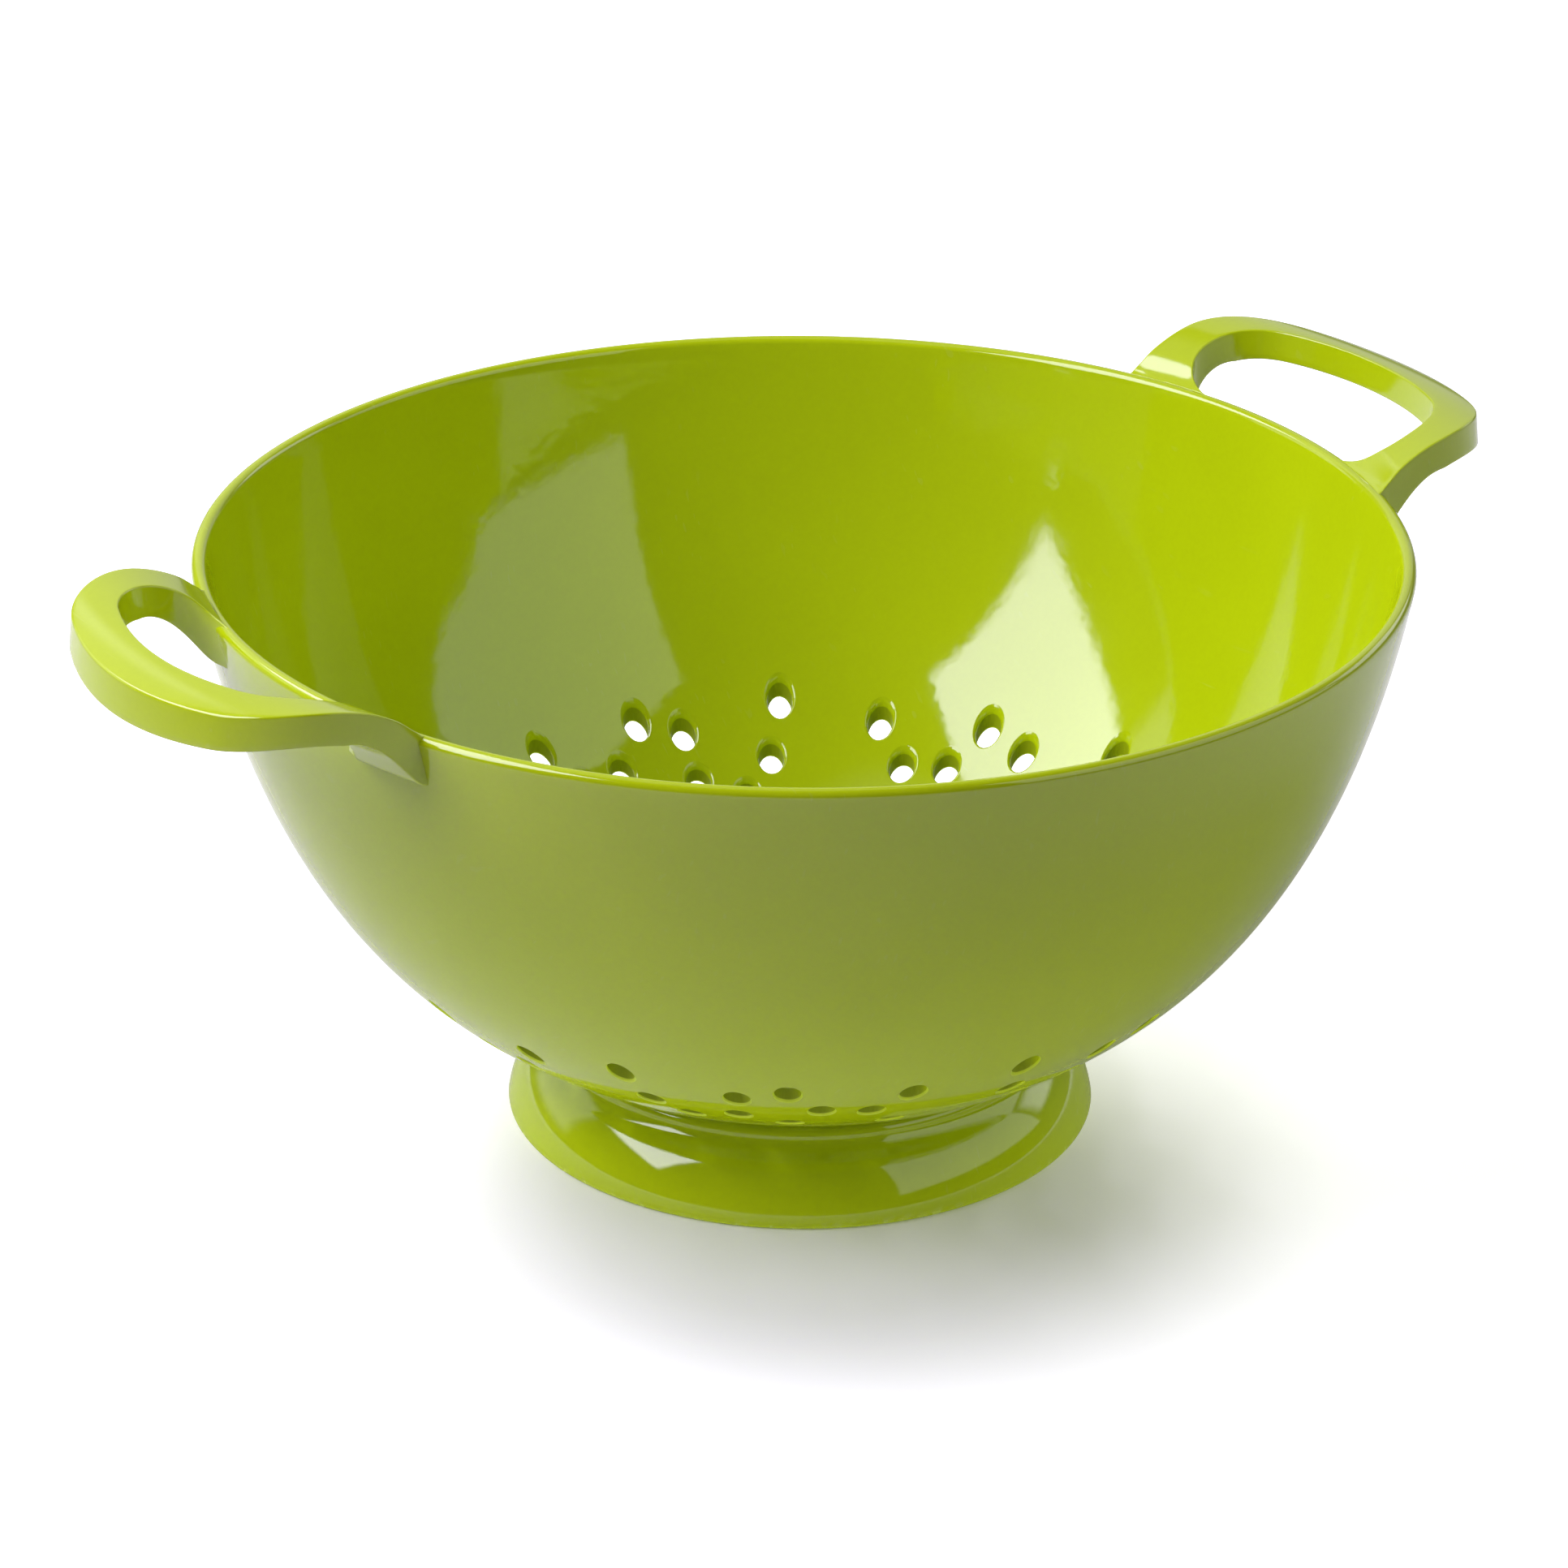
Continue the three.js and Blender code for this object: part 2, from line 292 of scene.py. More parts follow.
def pressed_resin():
    """Shared unevenness of the resin: a colour factor, a scratch mask, a gloss factor and a rippled normal."""
    group = bpy.data.node_groups.new("pressed_resin", "ShaderNodeTree")
    group.interface.new_socket("Place", in_out="INPUT", socket_type="NodeSocketVector")
    group.interface.new_socket("Ripple", in_out="INPUT", socket_type="NodeSocketFloat")
    group.interface.new_socket("Tone", in_out="OUTPUT", socket_type="NodeSocketFloat")
    group.interface.new_socket("Scratches", in_out="OUTPUT", socket_type="NodeSocketFloat")
    group.interface.new_socket("Dulling", in_out="OUTPUT", socket_type="NodeSocketFloat")
    group.interface.new_socket("Normal", in_out="OUTPUT", socket_type="NodeSocketVector")
    given = group.nodes.new("NodeGroupInput")
    result = group.nodes.new("NodeGroupOutput")
    place = given.outputs["Place"]
    clouds = remap(group, noise(group, place, CLOUD_SIZE), *TONE_SPREAD, *CLOUD_TONES)
    flecks = remap(group, noise(group, place, FLECK_SIZE, 1.0), *TONE_SPREAD, *FLECK_TONES)
    tone = combine(group, "MULTIPLY", clouds, flecks)
    lay = node(group, "Mapping")
    lay.inputs["Rotation"].default_value = SCRATCH_TURN
    lay.inputs["Scale"].default_value = SCRATCH_STRETCH
    group.links.new(place, lay.inputs["Vector"])
    strands = noise(group, lay.outputs["Vector"], SCRATCH_WIDTH, 0.0)
    hairs = remap(group, strands, *HAIR_SPREAD, 0.0, 1.0)
    patches = remap(group, noise(group, place, SCRATCH_PATCH), *PATCH_SPREAD, 0.0, 1.0)
    scratches = combine(group, "MULTIPLY", hairs, patches)
    haze = remap(group, noise(group, place, HAZE_SIZE, 3.0), *HAZE_SPREAD, 0.0, 1.0)
    dulling = combine(group, "ADD", haze, scratches)
    ripple = node(group, "Bump")
    ripple.inputs["Strength"].default_value = 1.0
    group.links.new(given.outputs["Ripple"], ripple.inputs["Distance"])
    group.links.new(noise(group, place, RIPPLE_SIZE, 1.0), ripple.inputs["Height"])
    group.links.new(tone, result.inputs["Tone"])
    group.links.new(scratches, result.inputs["Scratches"])
    group.links.new(dulling, result.inputs["Dulling"])
    group.links.new(ripple.outputs["Normal"], result.inputs["Normal"])
    return group


resin = pressed_resin()
LIME = (0.437, 0.546, 0.003)
SCUFFED_LIME = (0.60, 0.68, 0.16)
MELAMINE_IOR = 1.62
RUB_SIZE = 0.0025
RUB_SPREAD = (0.5, 0.68)
SCUFF_WEAR = 0.2
SCUFF_ROUGHNESS = 0.25
SCRATCH_WEAR = 0.12


def melamine(name, gloss, dull, ripple, scuff_top, shine=0.5, shade=1.0):
    """Glossy lime resin, its colour scaled by shade: painted shade below 1, painted highlight above 1. It is scuffed
    from its lowest edge up to a height, by what it stands or knocks on.
    """
    material = bpy.data.materials.new(name)
    material.use_nodes = True
    tree = material.node_tree
    shader = tree.nodes["Principled BSDF"]
    shader.inputs["IOR"].default_value = MELAMINE_IOR
    shader.inputs["Specular IOR Level"].default_value = shine
    place = node(tree, "TexCoord").outputs["Object"]
    surface = node(tree, "Group", node_tree=resin)
    surface.inputs["Ripple"].default_value = ripple
    tree.links.new(place, surface.inputs["Place"])
    height = node(tree, "SeparateXYZ")
    tree.links.new(place, height.inputs[0])
    low = remap(tree, height.outputs["Z"], scuff_top / 3, scuff_top, 1.0, 0.0)
    rubbed = remap(tree, noise(tree, place, RUB_SIZE, 4.0), *RUB_SPREAD, 0.0, 1.0)
    scuff = combine(tree, "MULTIPLY", low, rubbed)
    marks = combine(tree, "MULTIPLY", surface.outputs["Scratches"], SCRATCH_WEAR)
    wear = combine(tree, "MAXIMUM", combine(tree, "MULTIPLY", scuff, SCUFF_WEAR), marks)
    toned = node(tree, "VectorMath", operation="SCALE")
    # shade scales the lime: below 1 it paints shade, above 1 it paints a highlight.
    toned.inputs[0].default_value = [shade * part for part in LIME]
    tree.links.new(surface.outputs["Tone"], toned.inputs["Scale"])
    colour = node(tree, "Mix", data_type="RGBA")
    colour.inputs["B"].default_value = (*SCUFFED_LIME, 1)
    tree.links.new(toned.outputs[0], colour.inputs["A"])
    tree.links.new(wear, colour.inputs["Factor"])
    tree.links.new(colour.outputs["Result"], shader.inputs["Base Color"])
    roughness = combine(tree, "MULTIPLY", surface.outputs["Dulling"], dull)
    roughness = combine(tree, "ADD", roughness, gloss)
    roughness = combine(tree, "ADD", roughness, combine(tree, "MULTIPLY", scuff, SCUFF_ROUGHNESS))
    tree.links.new(roughness, shader.inputs["Roughness"])
    tree.links.new(surface.outputs["Normal"], shader.inputs["Normal"])
    return material


# Most of the bowl is polished. The bores of the holes are matt, and their lime is darkened as painted shade. The
# outer rounding round each hole is lightened as a painted highlight.
RIM_DEPTH = 0.0006
MOUTH_DEPTH = 0.0013
PAINTED_SHADE_BORE, EDGE = 1, 2
for finish_and_painted_light in (
    melamine("bowl_melamine", gloss=0.05, dull=0.03, ripple=0.00002, scuff_top=0.012),
    # Bores: the lime scaled to 0.62 is painted shade for the dim inside of each hole.
    melamine("bore_painted_shade", gloss=0.5, dull=0.1, ripple=0.00002, scuff_top=0.001, shine=0.1, shade=0.62),
    # Hole rims: the lime scaled to 1.3 is a painted highlight on the outer rounding of each hole.
    melamine("hole_rim_painted_highlight", gloss=0.3, dull=0.1, ripple=0.00002, scuff_top=0.001, shine=0.3, shade=1.3),
):
    bowl.data.materials.append(finish_and_painted_light)
off_outer, off_inner = off_wall(np.array([face.center for face in bowl.data.polygons]))
# Faces on the outer rounding take the painted highlight, and faces deeper in the hole take the painted shade.
for face in bowl.data.polygons:
    if SURFACE_SLACK < off_outer[face.index] < RIM_DEPTH:
        face.material_index = EDGE
    elif off_outer[face.index] > RIM_DEPTH and off_inner[face.index] > MOUTH_DEPTH:
        face.material_index = PAINTED_SHADE_BORE
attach(bowl, "root")
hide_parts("bowl")

# Foot: a ring moulding of the same melamine, flared like a bell. Its neck is bonded under the bowl round a
# locating ring, and only its flat rim touches the table.
FOOT_RADIUS = 0.0596
FOOT_WALL = 0.0036
FOOT_EDGE = 0.0012
EDGE_LEAN = math.radians(10)
EDGE_PULL = 0.0055
SHOULDER_LEAN = math.radians(46)
SHOULDER_PULL = 0.0035
SHOULDER_RADIUS = 0.0538
SHOULDER_HEIGHT = 0.0128
NECK_RADIUS = 0.0517
NECK_TAPER = 0.0004
COVE_RISE = 0.0013
SEAM = 0.0003
FLANK_STEPS = 32
COVE_STEPS = 16


def foot_side(inset):
    """Radius and height up one side of the foot: a long flank that rounds over, a small hollow cove and the
    upright neck."""
    edge_way = np.array([-math.sin(EDGE_LEAN), math.cos(EDGE_LEAN)])
    shoulder_way = np.array([-math.sin(SHOULDER_LEAN), math.cos(SHOULDER_LEAN)])
    a = np.array([FOOT_RADIUS, FOOT_EDGE])
    d = np.array([SHOULDER_RADIUS, SHOULDER_HEIGHT])
    b = a + EDGE_PULL * edge_way
    c = d - SHOULDER_PULL * shoulder_way
    flank = swept_curve(a, b, c, d, FLANK_STEPS, inset)
    start = flank[-1]
    neck = NECK_RADIUS - inset
    seat = neck - NECK_TAPER
    top = np.interp(seat, outer_wall[:, 0], outer_wall[:, 1]) - SEAM
    bend = np.array([neck, start[1] + (start[0] - neck) / math.tan(SHOULDER_LEAN)])
    u = np.linspace(0, 1, COVE_STEPS + 1)[1:, None]
    cove = (1 - u) ** 2 * start + 2 * u * (1 - u) * bend + u ** 2 * (bend + (-NECK_TAPER / 3, COVE_RISE))
    return np.concatenate([flank, cove, [[seat, top]]])


EDGE_STEPS = 6
edge_angles = np.linspace(-math.pi / 2, 0, EDGE_STEPS + 1)[:-1]
edge = np.stack([np.cos(edge_angles), np.sin(edge_angles) + 1], axis=1) * FOOT_EDGE
edge += (FOOT_RADIUS - FOOT_EDGE, 0)
land = np.array([[FOOT_RADIUS - FOOT_WALL, 0.0]])
foot_profile = np.concatenate([land, edge, foot_side(0), foot_side(FOOT_WALL)[::-1], land])
foot = turned("foot_flare", foot_profile)
foot.data.materials.append(melamine("foot_melamine", gloss=0.05, dull=0.03, ripple=0.00001, scuff_top=0.0025))
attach(foot, "root")
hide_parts("foot_ring")

# Handles: two loops opposite each other, moulded in one piece with the bowl. Each is a flat strap that arches
# up and over from the rim. Its legs spread along the rim, and a web under each leg runs down the wall.
TIP_REACH = 0.0325
LOOP_HALF = 0.0418
STRAP_WIDTH = 0.0095
END_RADIUS = 0.072
CORNER_RADIUS = 0.024
ROOT_FLARE = 0.001
ROOT_SINK = 0.0014
ROOT_RISE = 0.28
HOLE_FILLET = 0.014
STRAP_EDGE = 0.0004
STRAP_DRAFT = 0.0003
ARCH_RISE = 0.009
CREST_OUT = 0.020
ARCH_RADIUS = 0.0302
STRAP_THICKNESS = 0.0063
WEB_START = 0.0145
WEB_CURVE = 60.0
WEB_DEPTH = 0.0099
INNER_WEB_DEPTH = 0.0088
WEB_EASE = 0.0008
BLEND_START = 0.004
LIP_SLOPE = 0.35
ROOT_STEPS = 36
CORNER_STEPS = 20
END_STEPS = 30
FACE_STEPS = 10
WALL_ROWS = 6
ROUNDING_STEPS = 6


def arch_top(distance):
    """Height of the strap's top over the rim, by distance from the bowl's axis."""
    across = distance - (RIM_RADIUS + CREST_OUT)
    arch = ARCH_RISE - ARCH_RADIUS + np.sqrt(ARCH_RADIUS ** 2 - across ** 2)
    start = RIM_RADIUS + BLEND_START
    landing = LIP_CENTRE[0] - LIP_RADIUS * math.sin(math.atan(LIP_SLOPE))
    drop = LIP_RADIUS * (1 - math.cos(math.atan(LIP_SLOPE)))
    span = start - landing
    start_across = BLEND_START - CREST_OUT
    start_height = ARCH_RISE - ARCH_RADIUS + math.sqrt(ARCH_RADIUS ** 2 - start_across ** 2)
    start_slope = -start_across / math.sqrt(ARCH_RADIUS ** 2 - start_across ** 2)
    u = np.clip((distance - landing) / span, 0, 1)
    blend = (
        (1 + 2 * u) * (1 - u) ** 2 * -drop
        + u * (1 - u) ** 2 * span * LIP_SLOPE
        + u ** 2 * (3 - 2 * u) * start_height
        + u ** 2 * (u - 1) * span * start_slope
    )
    past_landing = np.minimum(0, distance - landing)
    return np.where(distance > start, arch, blend + past_landing)


def strap_underside(distance, share):
    """Height of the strap's underside over the rim, with the web under its leg; share is 0 at the strap's inner
    side and 1 at its outer side."""
    across = distance - (RIM_RADIUS + CREST_OUT)
    inner_radius = ARCH_RADIUS - STRAP_THICKNESS
    across = np.maximum(across, WEB_START - CREST_OUT)
    level = ARCH_RISE - ARCH_RADIUS + np.sqrt(inner_radius ** 2 - across ** 2)
    web = np.maximum(0, RIM_RADIUS + WEB_START - distance)
    depth = WEB_CURVE * web ** 2 - level
    deepest = INNER_WEB_DEPTH + share * (WEB_DEPTH - INNER_WEB_DEPTH)
    return -deepest + WEB_EASE * np.logaddexp(0, (deepest - depth) / WEB_EASE)


def strap_edge_line(inset, spread):
    """Plan of one edge of the strap from the middle of the loop's end to inside the rim, with its share of
    the way along the leg: 1 up to the leg's start, then falling to 0 at the rim."""
    half = LOOP_HALF - inset
    end_x = RIM_RADIUS + TIP_REACH - END_RADIUS
    corner_y = LOOP_HALF - CORNER_RADIUS
    corner_x = end_x + math.sqrt((END_RADIUS - CORNER_RADIUS) ** 2 - corner_y ** 2)
    turn = math.atan2(corner_y, corner_x - end_x)
    a = np.linspace(0, turn, END_STEPS // 2 + 1)
    end = (END_RADIUS - inset) * np.stack([np.cos(a), np.sin(a)], axis=1) + (end_x, 0)
    a = np.linspace(turn, math.pi / 2, CORNER_STEPS + 1)[1:]
    corner = (CORNER_RADIUS - inset) * np.stack([np.cos(a), np.sin(a)], axis=1) + (corner_x, corner_y)
    root = np.array([math.sqrt(RIM_RADIUS ** 2 - half ** 2), half])
    rim_turn = math.atan2(root[1], root[0]) + spread / RIM_RADIUS
    on_rim = (RIM_RADIUS - ROOT_SINK) * np.array([math.cos(rim_turn), math.sin(rim_turn)])
    u = np.linspace(1, 0, ROOT_STEPS + 1)[1:, None]
    leg = (1 - u) ** 2 * on_rim + 2 * u * (1 - u) * root + u ** 2 * corner[-1]
    line = np.concatenate([end, corner, leg])
    along = np.concatenate([np.ones(len(end) + len(corner)), u[:, 0]])
    return line, along


def normals_of(line, outwards):
    """Unit normals of a plan line, to its right, or to its left where outwards is -1."""
    step = np.gradient(line, axis=0)
    normal = np.stack([step[:, 1], -step[:, 0]], axis=1)
    normal /= np.linalg.norm(normal, axis=1)[:, None]
    return normal * outwards


def strap_sections():
    """Points of the strap as closed cross-sections, from one root round the loop to the other."""
    outer, along = strap_edge_line(0, ROOT_FLARE)
    inner, _ = strap_edge_line(STRAP_WIDTH, -HOLE_FILLET)
    outer_normal = normals_of(outer, 1)
    inner_normal = normals_of(inner, -1)
    outer_top = outer - STRAP_DRAFT * outer_normal
    outer_low = outer + STRAP_DRAFT * outer_normal
    inner_top = inner - STRAP_DRAFT * inner_normal
    inner_low = inner + STRAP_DRAFT * inner_normal
    quarter = np.linspace(0, math.pi / 2, ROUNDING_STEPS + 1)
    grow = np.clip(along / ROOT_RISE, 0, 1)
    grow = grow ** 2 * (3 - 2 * grow)
    rows = []

    def plan_row(plan, height_of):
        distance = np.maximum(np.linalg.norm(plan, axis=1), RIM_RADIUS - ROOT_SINK)
        plan = plan * (distance / np.linalg.norm(plan, axis=1))[:, None]
        rows.append(np.column_stack([plan, height_of(distance)]))

    def top(distance, _share):
        return arch_top(distance) * grow

    def face_rows(inner_line, outer_line, shares, height_of):
        inner_face = inner_line - STRAP_EDGE * inner_normal
        outer_face = outer_line - STRAP_EDGE * outer_normal
        for share in shares:
            plan_row(inner_face + share * (outer_face - inner_face), lambda d: height_of(d, share))

    def edge_rows(line, normal, angles, height_of, share, way):
        for angle in angles:
            off = way * STRAP_EDGE * (1 - math.sin(angle))
            plan_row(line - STRAP_EDGE * (1 - math.cos(angle)) * normal, lambda d: height_of(d, share) + off)

    def side_rows(top_line, low_line, downs, share):
        def height(distance):
            upper = top(distance, share) - STRAP_EDGE
            lower = strap_underside(distance, share) + STRAP_EDGE
            return (1 - down) * upper + down * lower

        for down in downs:
            plan_row(top_line + down * (low_line - top_line), height)

    shares = np.linspace(0, 1, FACE_STEPS + 1)
    downs = np.linspace(0, 1, WALL_ROWS + 1)[1:-1]
    face_rows(inner_top, outer_top, shares, top)
    edge_rows(outer_top, outer_normal, quarter[::-1][1:], top, share=1, way=-1)
    side_rows(outer_top, outer_low, downs, share=1)
    edge_rows(outer_low, outer_normal, quarter, strap_underside, share=1, way=1)
    face_rows(inner_low, outer_low, shares[::-1][1:], strap_underside)
    edge_rows(inner_low, inner_normal, quarter[::-1][1:], strap_underside, share=0, way=1)
    side_rows(inner_top, inner_low, downs[::-1], share=0)
    edge_rows(inner_top, inner_normal, quarter, top, share=0, way=-1)
    section = np.array(rows)
    lean = np.interp(RIM_HEIGHT + section[:, :, 2], outer_wall[:, 1], outer_wall[:, 0]) - rim_start[0]
    shift = lean * (1 - along) ** 2
    distance = np.linalg.norm(section[:, :, :2], axis=2)
    section[:, :, :2] *= (1 + shift / distance)[:, :, None]
    section[:, :, 2] += RIM_HEIGHT
    mirrored = section[:, :0:-1] * (1, -1, 1)
    return np.concatenate([mirrored, section], axis=1)


def strap(name, facing):
    """One handle: a flat grid bent round its cross-sections, with its two ends closed."""
    points = strap_sections() * (facing, facing, 1)
    rows, columns = points.shape[:2]
    bpy.ops.object.select_all(action="DESELECT")
    bpy.ops.mesh.primitive_grid_add(x_subdivisions=columns - 1, y_subdivisions=rows - 1, size=1)
    piece = bpy.context.object
    piece.name = piece.data.name = name
    for vertex in piece.data.vertices:
        column = round((vertex.co.x + 0.5) * (columns - 1))
        row = round((vertex.co.y + 0.5) * (rows - 1))
        vertex.co = points[row, column]
    edit_all(piece)
    bpy.ops.mesh.remove_doubles(threshold=MERGE_DISTANCE)
    bpy.ops.mesh.select_all(action="DESELECT")
    bpy.ops.mesh.select_mode(type="EDGE")
    bpy.ops.mesh.select_non_manifold()
    bpy.ops.mesh.edge_face_add()
    bpy.ops.mesh.select_all(action="SELECT")
    bpy.ops.mesh.normals_make_consistent(inside=False)
    bpy.ops.object.mode_set(mode="OBJECT")
    bpy.ops.object.shade_smooth()
    return piece


handle_finish = melamine("handle_melamine", gloss=0.07, dull=0.05, ripple=0.00001, scuff_top=0.1115)
for solid, facing in (("handle_right", 1), ("handle_left", -1)):
    handle = strap(solid + "_strap", facing)
    handle.data.materials.append(handle_finish)
    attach(handle, "root")
    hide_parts(solid)

# Camera: a long lens from the front left, looking down at the bowl.
CAMERA_TURN = math.radians(-33.9)
CAMERA_TILT = math.radians(24.16)
CAMERA_ROLL = -0.0062
CAMERA_DISTANCE = 1.1849
CAMERA_TARGET = Vector((-0.00302, 0.00203, 0.06916))
LENS = 135.9
SENSOR_WIDTH = 36


def direction(turn, tilt):
    """A unit vector, by its turn clockwise from straight behind the colander and its tilt above the floor,
    in degrees, as the camera sees it."""
    turn = CAMERA_TURN - math.radians(turn)
    tilt = math.radians(tilt)
    return Vector((-math.sin(turn) * math.cos(tilt), math.cos(turn) * math.cos(tilt), math.sin(tilt)))


back = direction(180, math.degrees(CAMERA_TILT))
right = direction(90, 0)
up = back.cross(right)
rolled_right = math.cos(CAMERA_ROLL) * right - math.sin(CAMERA_ROLL) * up
rolled_up = math.sin(CAMERA_ROLL) * right + math.cos(CAMERA_ROLL) * up
camera_data = bpy.data.cameras.new("camera")
camera_data.lens = LENS
camera_data.sensor_width = SENSOR_WIDTH
camera = bpy.data.objects.new("camera", camera_data)
bpy.context.scene.collection.objects.link(camera)
axes = Matrix((rolled_right, rolled_up, back)).transposed().to_4x4()
camera.matrix_world = Matrix.Translation(CAMERA_TARGET + CAMERA_DISTANCE * back) @ axes
bpy.context.scene.camera = camera

# Floor: a sheet of white card under the colander, with a tone of its own for the camera, for bounced light and for
# reflections. Away from the colander it is lifted to full white for the camera, and close by it keeps the shadow.
# A weak glow fills the shaded side of the bowl, as a larger pale ground would.
FLOOR_SIZE = 6
CARD_SEEN = (0.86, 0.845, 0.9)
CARD_NEAR = 0.9
CARD_FAR = 0.42
CARD_START = 0.1
CARD_END = 0.3
CARD_MIRRORED_NEAR = 0.65
CARD_MIRRORED_FAR = 1.0
CARD_GLOW = 0.36
GLOW_CENTRE = 0.035 * direction(100, 0)
GLOW_START = 0.07
GLOW_END = 0.2
CARD_LIFT_NEAR = 0.04
CARD_LIFT_FAR = 0.72
HORIZON_LIFT = 0.4
HORIZON_START = 0.4
HORIZON_END = 1.5
SHADOW_CENTRE = 0.047 * direction(178, 0)
SHADOW_CORE = 0.042
SHADOW_EDGE = 0.118
bpy.ops.object.select_all(action="DESELECT")
bpy.ops.mesh.primitive_plane_add(size=FLOOR_SIZE)
floor = bpy.context.object
floor.name = "floor"
card = bpy.data.materials.new("white_card")
card.use_nodes = True
card_tree = card.node_tree
card_shader = card_tree.nodes["Principled BSDF"]
card_shader.inputs["Roughness"].default_value = 0.9
card_shader.inputs["Specular IOR Level"].default_value = 0
card_shader.inputs["Emission Color"].default_value = (1, 1, 1, 1)
card_rays = node(card_tree, "LightPath").outputs
card_sight = card_rays["Is Camera Ray"]
card_place = node(card_tree, "TexCoord").outputs["Object"]


def card_distance(centre):
    """Distance over the card from a place on it."""
    reach = node(card_tree, "VectorMath", operation="DISTANCE")
    reach.inputs[1].default_value = centre
    card_tree.links.new(card_place, reach.inputs[0])
    return reach.outputs["Value"]


card_reach = card_distance(SHADOW_CENTRE)
card_colour = node(card_tree, "Mix", data_type="RGBA")
card_colour.inputs["B"].default_value = (*CARD_SEEN, 1)
card_bounce = node(card_tree, "Mix")
bounced_tone = remap(card_tree, card_reach, CARD_START, CARD_END, CARD_NEAR, CARD_FAR)
# In reflections the card is darker close to the colander: a painted shade on top of the shadow that the lamps cast.
mirrored_tone = remap(card_tree, card_reach, CARD_START, CARD_END, CARD_MIRRORED_NEAR, CARD_MIRRORED_FAR)
card_tree.links.new(bounced_tone, card_bounce.inputs["A"])
card_tree.links.new(mirrored_tone, card_bounce.inputs["B"])
card_tree.links.new(card_rays["Is Glossy Ray"], card_bounce.inputs["Factor"])
card_tree.links.new(card_bounce.outputs["Result"], card_colour.inputs["A"])
card_tree.links.new(card_sight, card_colour.inputs["Factor"])
card_tree.links.new(card_colour.outputs["Result"], card_shader.inputs["Base Color"])
card_lift = node(card_tree, "Mix")
glow = remap(card_tree, card_distance(GLOW_CENTRE), GLOW_START, GLOW_END, CARD_GLOW, 0)
glow = combine(card_tree, "MULTIPLY", glow, card_rays["Is Diffuse Ray"])
lift = remap(card_tree, card_reach, SHADOW_CORE, SHADOW_EDGE, CARD_LIFT_NEAR, CARD_LIFT_FAR)
horizon = remap(card_tree, card_reach, HORIZON_START, HORIZON_END, 0, HORIZON_LIFT)
lift = combine(card_tree, "ADD", lift, horizon)
card_tree.links.new(glow, card_lift.inputs["A"])
card_tree.links.new(lift, card_lift.inputs["B"])
card_tree.links.new(card_sight, card_lift.inputs["Factor"])
card_tree.links.new(card_lift.outputs["Result"], card_shader.inputs["Emission Strength"])
floor.data.materials.append(card)

# Studio: a white sweep behind the colander that fades to a dark room behind the camera, a large softbox on the left,
# a broad white panel on the right, and dim white walls and a ceiling that the handles and the rim mirror.
COOL_WHITE = (0.97, 0.94, 1.1)
SWEEP_LIGHT = 0.12
SWEEP_EDGE = 0.6
ROOM_LIGHT = 0.03
world = bpy.data.worlds.new("studio")
bpy.context.scene.world = world
world.use_nodes = True
studio_tree = world.node_tree
background = studio_tree.nodes["Background"]
background.inputs["Color"].default_value = (1, 1, 1, 1)
towards_sweep = node(studio_tree, "VectorMath", operation="DOT_PRODUCT")
towards_sweep.inputs[1].default_value = direction(0, 0)
studio_tree.links.new(node(studio_tree, "TexCoord").outputs["Generated"], towards_sweep.inputs[0])
sweep = remap(studio_tree, towards_sweep.outputs["Value"], 0.0, SWEEP_EDGE, ROOM_LIGHT, SWEEP_LIGHT)
seen = node(studio_tree, "Mix")
seen.inputs["B"].default_value = 1.0
studio_tree.links.new(sweep, seen.inputs["A"])
studio_tree.links.new(node(studio_tree, "LightPath").outputs["Is Camera Ray"], seen.inputs["Factor"])
studio_tree.links.new(seen.outputs["Result"], background.inputs["Strength"])


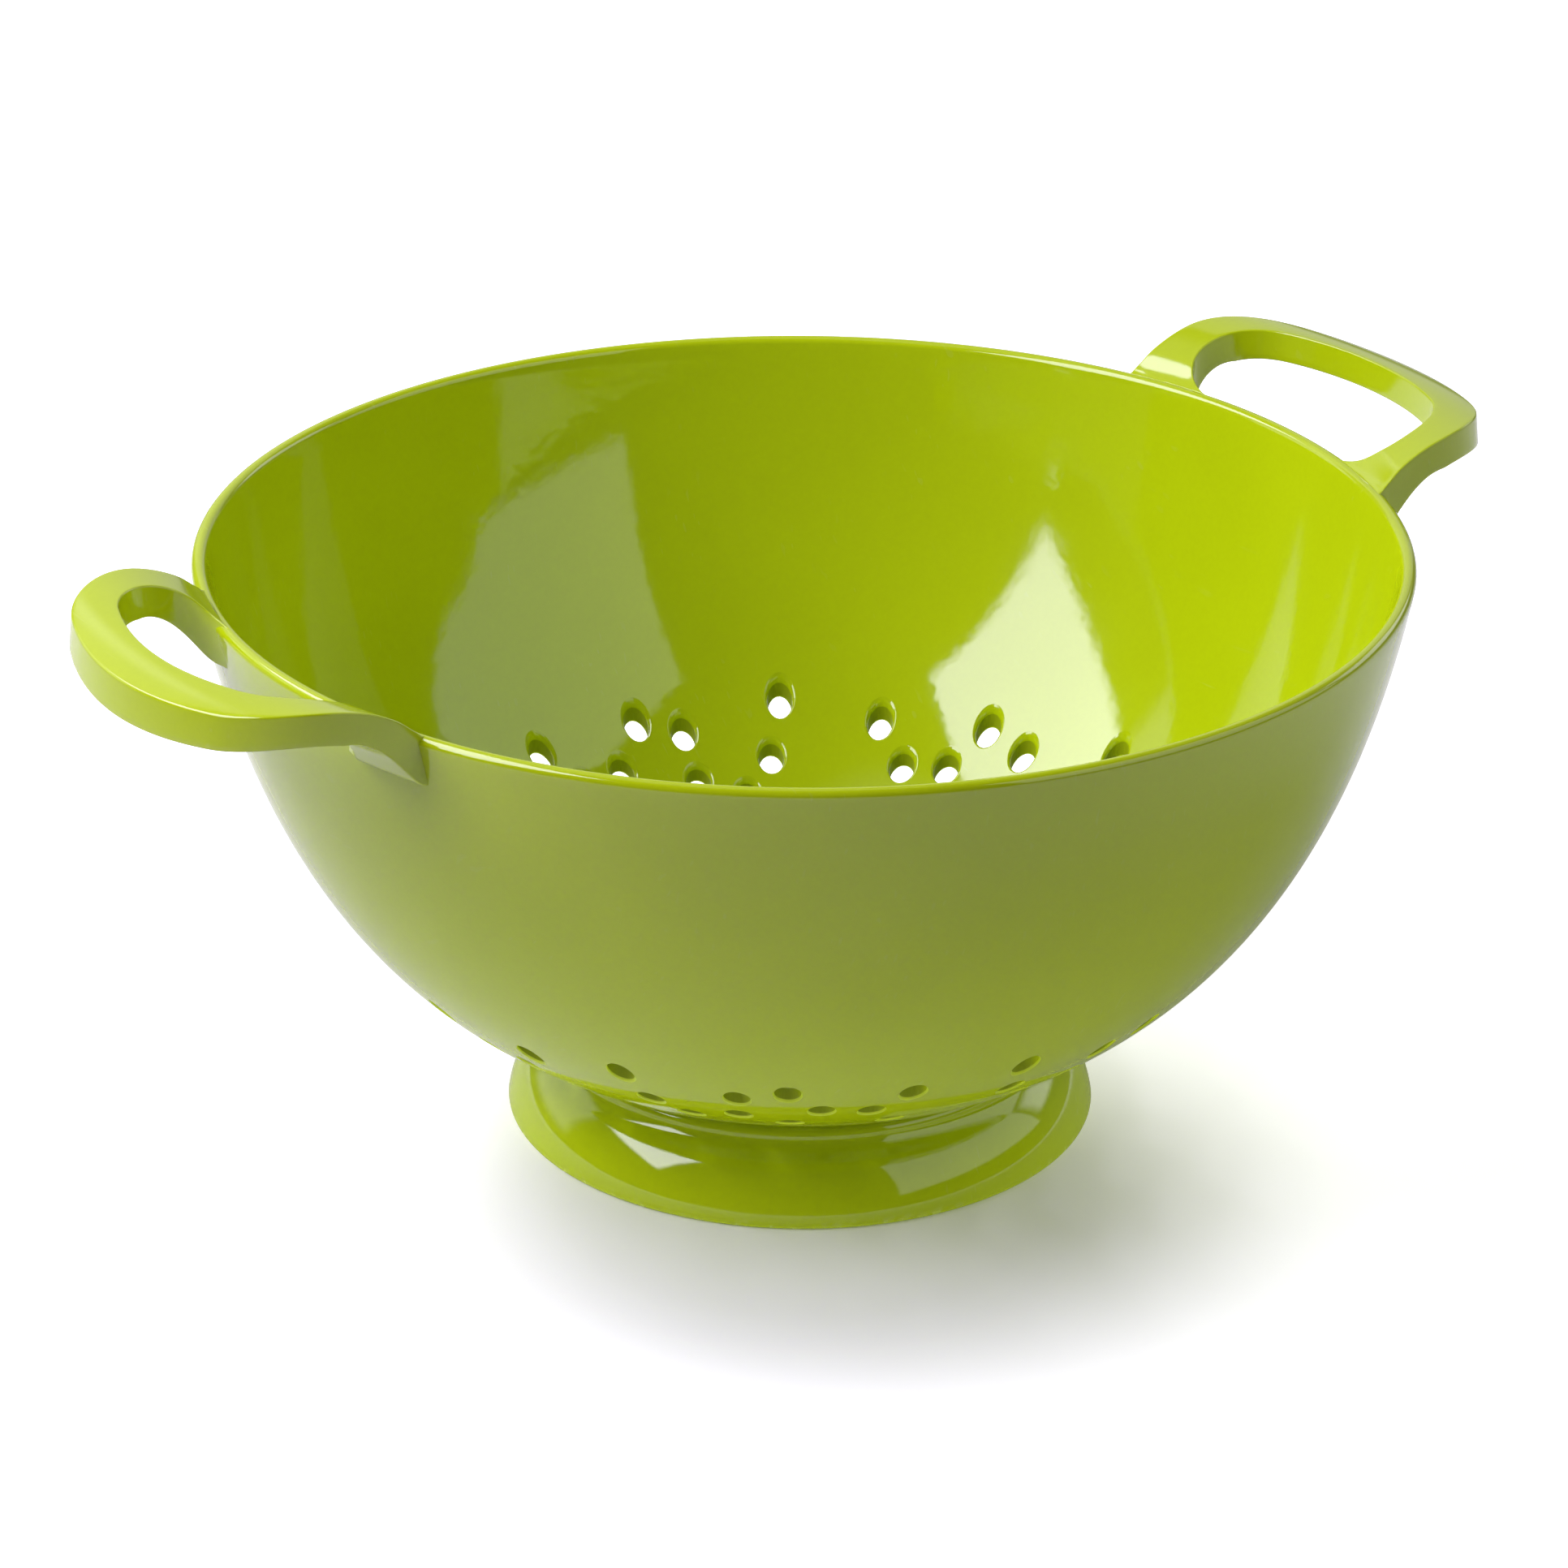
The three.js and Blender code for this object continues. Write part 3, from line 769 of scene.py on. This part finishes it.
def softbox(name, turn, tilt, distance, width, height, radiance, edge, lean=0, roll=0, colour=(1, 1, 1)):
    """A flat rectangular lamp at a distance from the bowl. It leans back from upright by some degrees, its power
    follows from its area and its brightness, and it fades towards its edge over a share of its size."""
    lamp = bpy.data.lights.new(name, "AREA")
    lamp.shape = "RECTANGLE"
    lamp.size = width
    lamp.size_y = height
    lamp.energy = math.pi * width * height * radiance
    lamp.color = colour
    lamp.use_nodes = True
    tree = lamp.node_tree
    across = node(tree, "SeparateXYZ")
    tree.links.new(node(tree, "NewGeometry").outputs["Parametric"], across.inputs[0])
    strength = 1.0
    for side in (across.outputs["X"], across.outputs["Y"]):
        strength = combine(tree, "MULTIPLY", strength, remap(tree, side, 0, edge, 0, 1))
        strength = combine(tree, "MULTIPLY", strength, remap(tree, side, 1 - edge, 1, 1, 0))
    tree.links.new(strength, tree.nodes["Emission"].inputs["Strength"])
    holder = bpy.data.objects.new(name, lamp)
    bpy.context.scene.collection.objects.link(holder)
    holder.visible_camera = False
    facing = direction(turn, lean).to_track_quat("Z", "Y").to_matrix().to_4x4()
    centre = Vector((0, 0, RIM_HEIGHT / 2)) + distance * direction(turn, tilt)
    holder.matrix_world = Matrix.Translation(centre) @ facing @ Matrix.Rotation(math.radians(roll), 4, "Z")


softbox(
    "key_softbox", -94.6, 51.3, 1.0, width=1.09, height=0.836, radiance=7.0, edge=0.05, roll=-21, colour=COOL_WHITE
)
softbox("left_wall", -62, 20, 1.3, width=0.9, height=0.9, radiance=1.1, edge=0.2)
softbox("overhead", -40, 72, 1.2, width=1.1, height=1.1, radiance=0.5, edge=0.3, lean=72)
softbox("back_wall", 0, 26, 1.5, width=1.6, height=1.3, radiance=0.5, edge=0.1)
softbox("left_back_wall", -36, 36, 1.4, width=0.6, height=0.6, radiance=0.7, edge=0.2)
softbox("right_wall", 52, 22.8, 1.35, width=0.9, height=0.56, radiance=2.0, edge=0.2)
softbox("right_panel", 107, 37.8, 1.66, width=1.9, height=1.6, radiance=1.15, edge=0.03)

bpy.context.scene.view_settings.view_transform = "Standard"
